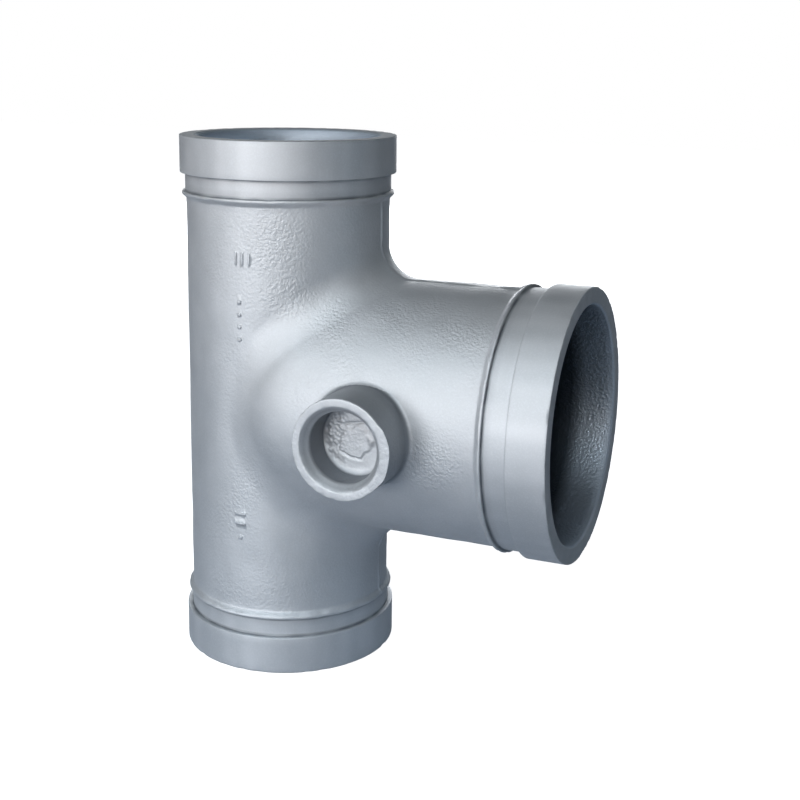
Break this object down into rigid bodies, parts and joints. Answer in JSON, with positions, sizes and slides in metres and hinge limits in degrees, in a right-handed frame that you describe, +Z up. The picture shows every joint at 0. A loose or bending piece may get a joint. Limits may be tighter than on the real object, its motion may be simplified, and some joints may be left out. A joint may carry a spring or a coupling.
{
  "type": "grooved pipe tee",
  "caption": "Cast pipe tee with grooved ends: an upright run, a wider side branch with a blended root, and a blind boss on its side.",
  "frame": {"origin": "centre of the lower end of the run, on the face that the fitting stands on", "axes": "+Z up along the run to its upper end, +X along the branch to its mouth, the boss faces -Y"},
  "size_m": [0.1734, 0.124, 0.216],
  "materials": {
    "silver_paint": "aluminium-coloured paint over a rough casting, satin"
  },
  "bodies": {
    "root": {"tee_body": "silver_paint"}
  },
  "joints": []
}
